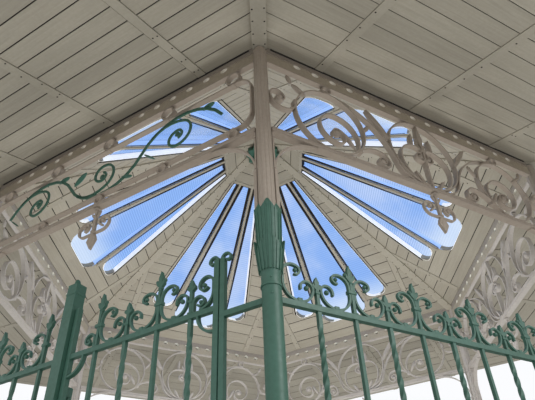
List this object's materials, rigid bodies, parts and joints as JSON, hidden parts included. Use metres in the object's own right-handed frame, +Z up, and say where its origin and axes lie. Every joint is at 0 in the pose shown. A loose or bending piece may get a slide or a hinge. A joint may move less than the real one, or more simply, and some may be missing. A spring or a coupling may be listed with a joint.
{
  "type": "bandstand",
  "caption": "Open hexagonal bandstand with cast columns, scrolled friezes, a boarded roof with fan skylights, and a green railing with a gate on a raised plinth.",
  "frame": {"origin": "on the ground under the middle of the hexagonal plan", "axes": "+Z up; column 1 stands at -Y; +X to the right when column 1 is nearest; the gate and steps are between columns 6 and 1, at -X -Y"},
  "size_m": [8.662, 10.002, 7.874],
  "materials": {
    "stone": "matte",
    "green_iron": "satin",
    "pale_iron": "satin",
    "pale_boards": "matte",
    "glazing": "gloss"
  },
  "bodies": {
    "structure": {"plinth": "stone", "deck": "stone", "steps": "stone", "step_cheeks": "stone", "column_1": "green_iron", "column_2": "green_iron", "column_3": "green_iron", "column_4": "green_iron", "column_5": "green_iron", "column_6": "green_iron", "fascia_1": "pale_iron", "fascia_2": "pale_iron", "fascia_3": "pale_iron", "fascia_4": "pale_iron", "fascia_5": "pale_iron", "fascia_6": "pale_iron", "frieze_1": "pale_iron", "frieze_2": "pale_iron", "frieze_3": "pale_iron", "frieze_4": "pale_iron", "frieze_5": "pale_iron", "frieze_6": "pale_iron", "roof_1": "pale_boards", "roof_2": "pale_boards", "roof_3": "pale_boards", "roof_4": "pale_boards", "roof_5": "pale_boards", "roof_6": "pale_boards", "eaves_1": "pale_boards", "eaves_2": "pale_boards", "eaves_3": "pale_boards", "eaves_4": "pale_boards", "eaves_5": "pale_boards", "eaves_6": "pale_boards", "railing_1": "green_iron", "railing_2": "green_iron", "railing_3": "green_iron", "railing_4": "green_iron", "railing_5": "green_iron", "railing_hinge_side": "green_iron", "railing_latch_side": "green_iron", "hips": "pale_boards", "skylight_glass": "glazing", "finial": "green_iron"},
    "gate_leaf": {"gate": "green_iron"}
  },
  "joints": [
    {"name": "gate_hinge", "type": "hinge", "parent": "structure", "child": "gate_leaf", "pos_m": [-1.33519, -2.31561, 1.91], "axis": [0, 0, 1], "range_deg": [0, 90]}
  ]
}
